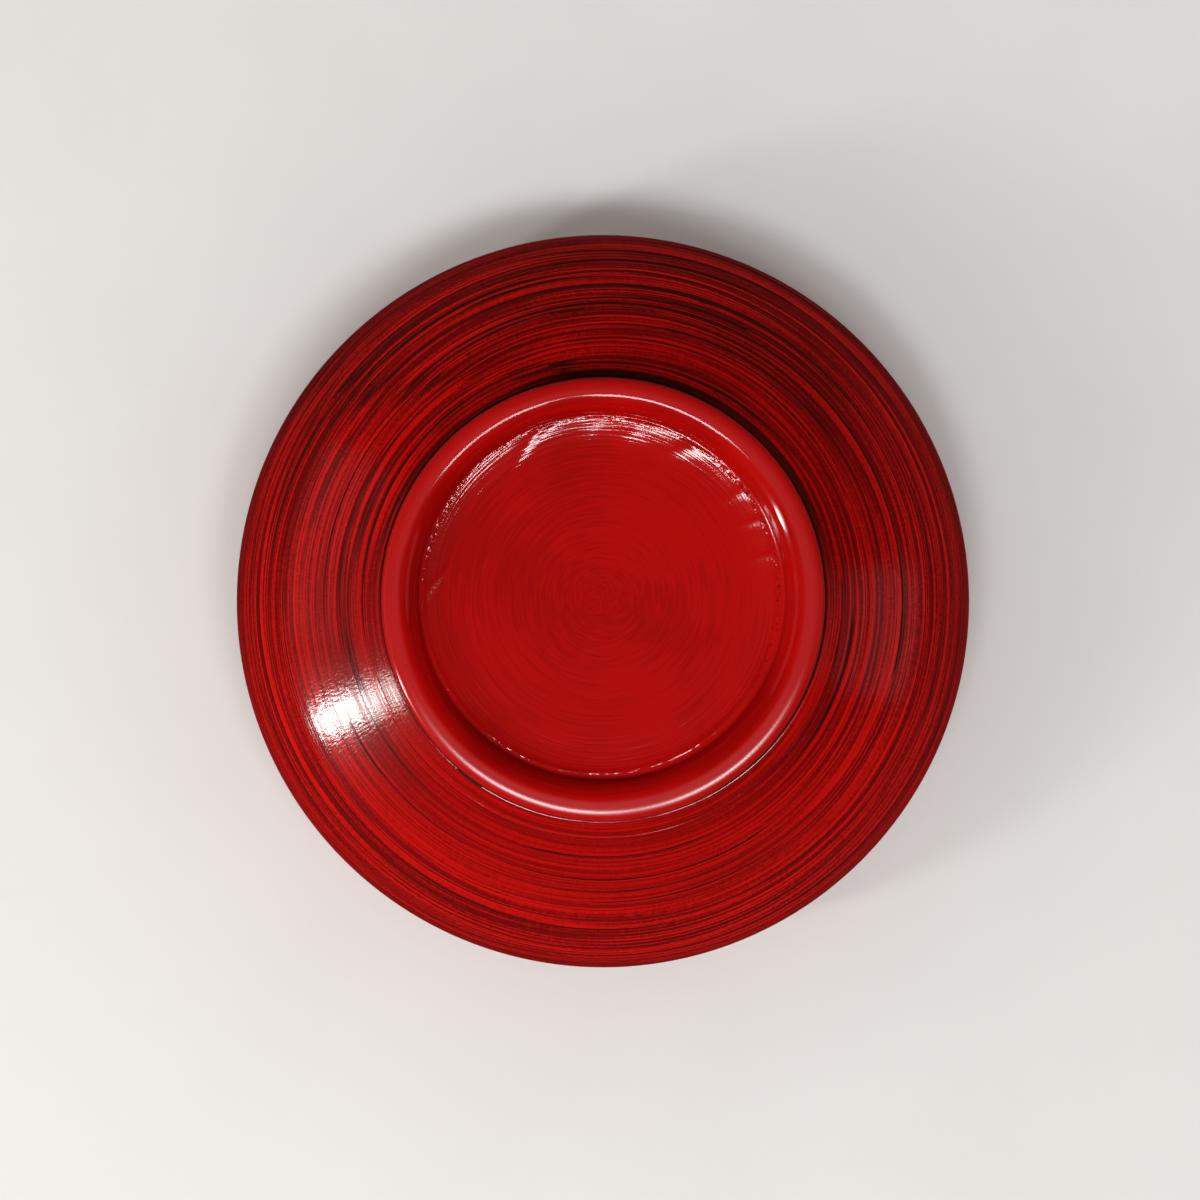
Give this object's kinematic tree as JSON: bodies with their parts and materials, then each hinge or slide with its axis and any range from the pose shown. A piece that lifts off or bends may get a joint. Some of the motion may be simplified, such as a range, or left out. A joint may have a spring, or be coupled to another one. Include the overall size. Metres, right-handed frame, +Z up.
{
  "type": "lacquered wooden bowl",
  "caption": "Low round turned wooden bowl with an inward-curving rim, a raised foot ring and brushed glossy red lacquer over a black ground.",
  "frame": {"origin": "centre of the foot ring's flat resting face, which is the bowl's lowest plane", "axes": "+Z up out of the bowl's open mouth, along the turning axis; +X and +Y in the resting plane"},
  "size_m": [0.15, 0.15, 0.058],
  "materials": {
    "brushed_red_lacquer": "glossy red lacquer brushed and combed in rings, with the black ground showing through",
    "plain_red_lacquer": "glossy plain red lacquer with fine turning and brush rings",
    "pooled_red_lacquer": "glossy, thick and wrinkled where it pooled",
    "black_ground": "satin black undercoat",
    "turned_wood": "plain turned hardwood, sealed under the coats",
    "glue": "dried wood glue"
  },
  "bodies": {
    "root": {"turned_bowl_body": "turned_wood", "turned_foot_ring": "turned_wood", "foot_glue_line": "glue", "outer_ground_coat": "black_ground", "outer_red_coat": "brushed_red_lacquer", "inner_ground_coat": "black_ground", "inner_red_coat": "brushed_red_lacquer", "foot_ground_coat": "black_ground", "foot_red_coat": "plain_red_lacquer", "recess_ground_coat": "black_ground", "recess_red_coat": "plain_red_lacquer", "recess_corner_bead": "pooled_red_lacquer"}
  },
  "joints": []
}
